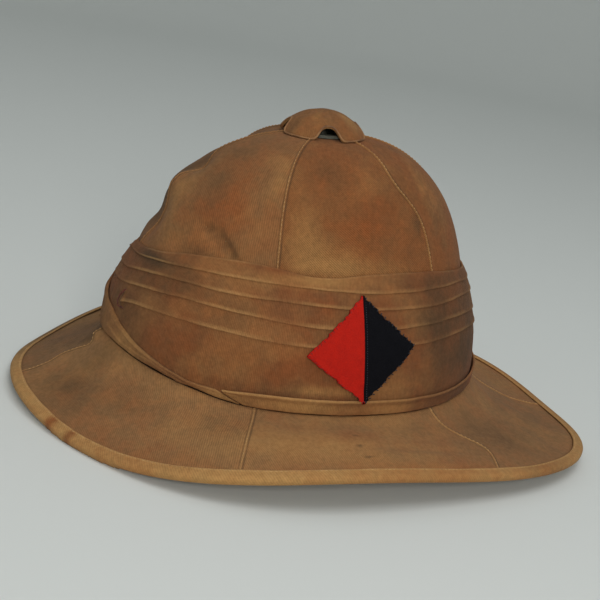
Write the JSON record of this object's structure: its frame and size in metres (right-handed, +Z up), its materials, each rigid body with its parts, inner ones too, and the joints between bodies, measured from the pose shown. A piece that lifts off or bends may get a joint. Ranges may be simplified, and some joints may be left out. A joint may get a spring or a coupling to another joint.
{
  "type": "pith helmet",
  "caption": "Cloth-covered sun helmet: a moulded hull under sewn crown gores and brim pieces, with a pleated wrap, a halved felt patch, a bound rim and a scalloped vent cap on a collar.",
  "frame": {"origin": "on the surface that the rim rests on, under the middle of the bounding box", "axes": "the front of the helmet faces -Y, the wearer's left is +X, +Z is up; the crown leans about four degrees towards the front, as it rests"},
  "size_m": [0.2974, 0.3566, 0.1833],
  "materials": {
    "moulded_hull": "matt pressed pith or cork, plain cloth lined",
    "crown_cloth": "faded khaki cotton drill, stained",
    "brim_cloth": "faded khaki cotton drill, stained",
    "wrap_cloth": "darker khaki cotton, folded in pleats",
    "red_felt": "worn red felt",
    "black_felt": "worn blue-black felt",
    "binding_tape": "light tan woven tape",
    "vent_metal": "dull grey-green paint"
  },
  "bodies": {
    "root": {"hull_crown": "moulded_hull", "hull_brim": "moulded_hull", "crown_gore_left_front": "crown_cloth", "crown_gore_left_side": "crown_cloth", "crown_gore_left_rear": "crown_cloth", "crown_gore_right_rear": "crown_cloth", "crown_gore_right_side": "crown_cloth", "crown_gore_right_front": "crown_cloth", "brim_piece_left_front": "brim_cloth", "brim_piece_left_side": "brim_cloth", "brim_piece_left_rear": "brim_cloth", "brim_piece_right_rear": "brim_cloth", "brim_piece_right_side": "brim_cloth", "brim_piece_right_front": "brim_cloth", "wrap": "wrap_cloth", "wrap_base_band": "wrap_cloth", "wrap_tail": "wrap_cloth", "patch_red": "red_felt", "patch_black": "black_felt", "edge_binding": "binding_tape", "vent_collar": "vent_metal", "vent_cap": "crown_cloth"}
  },
  "joints": []
}
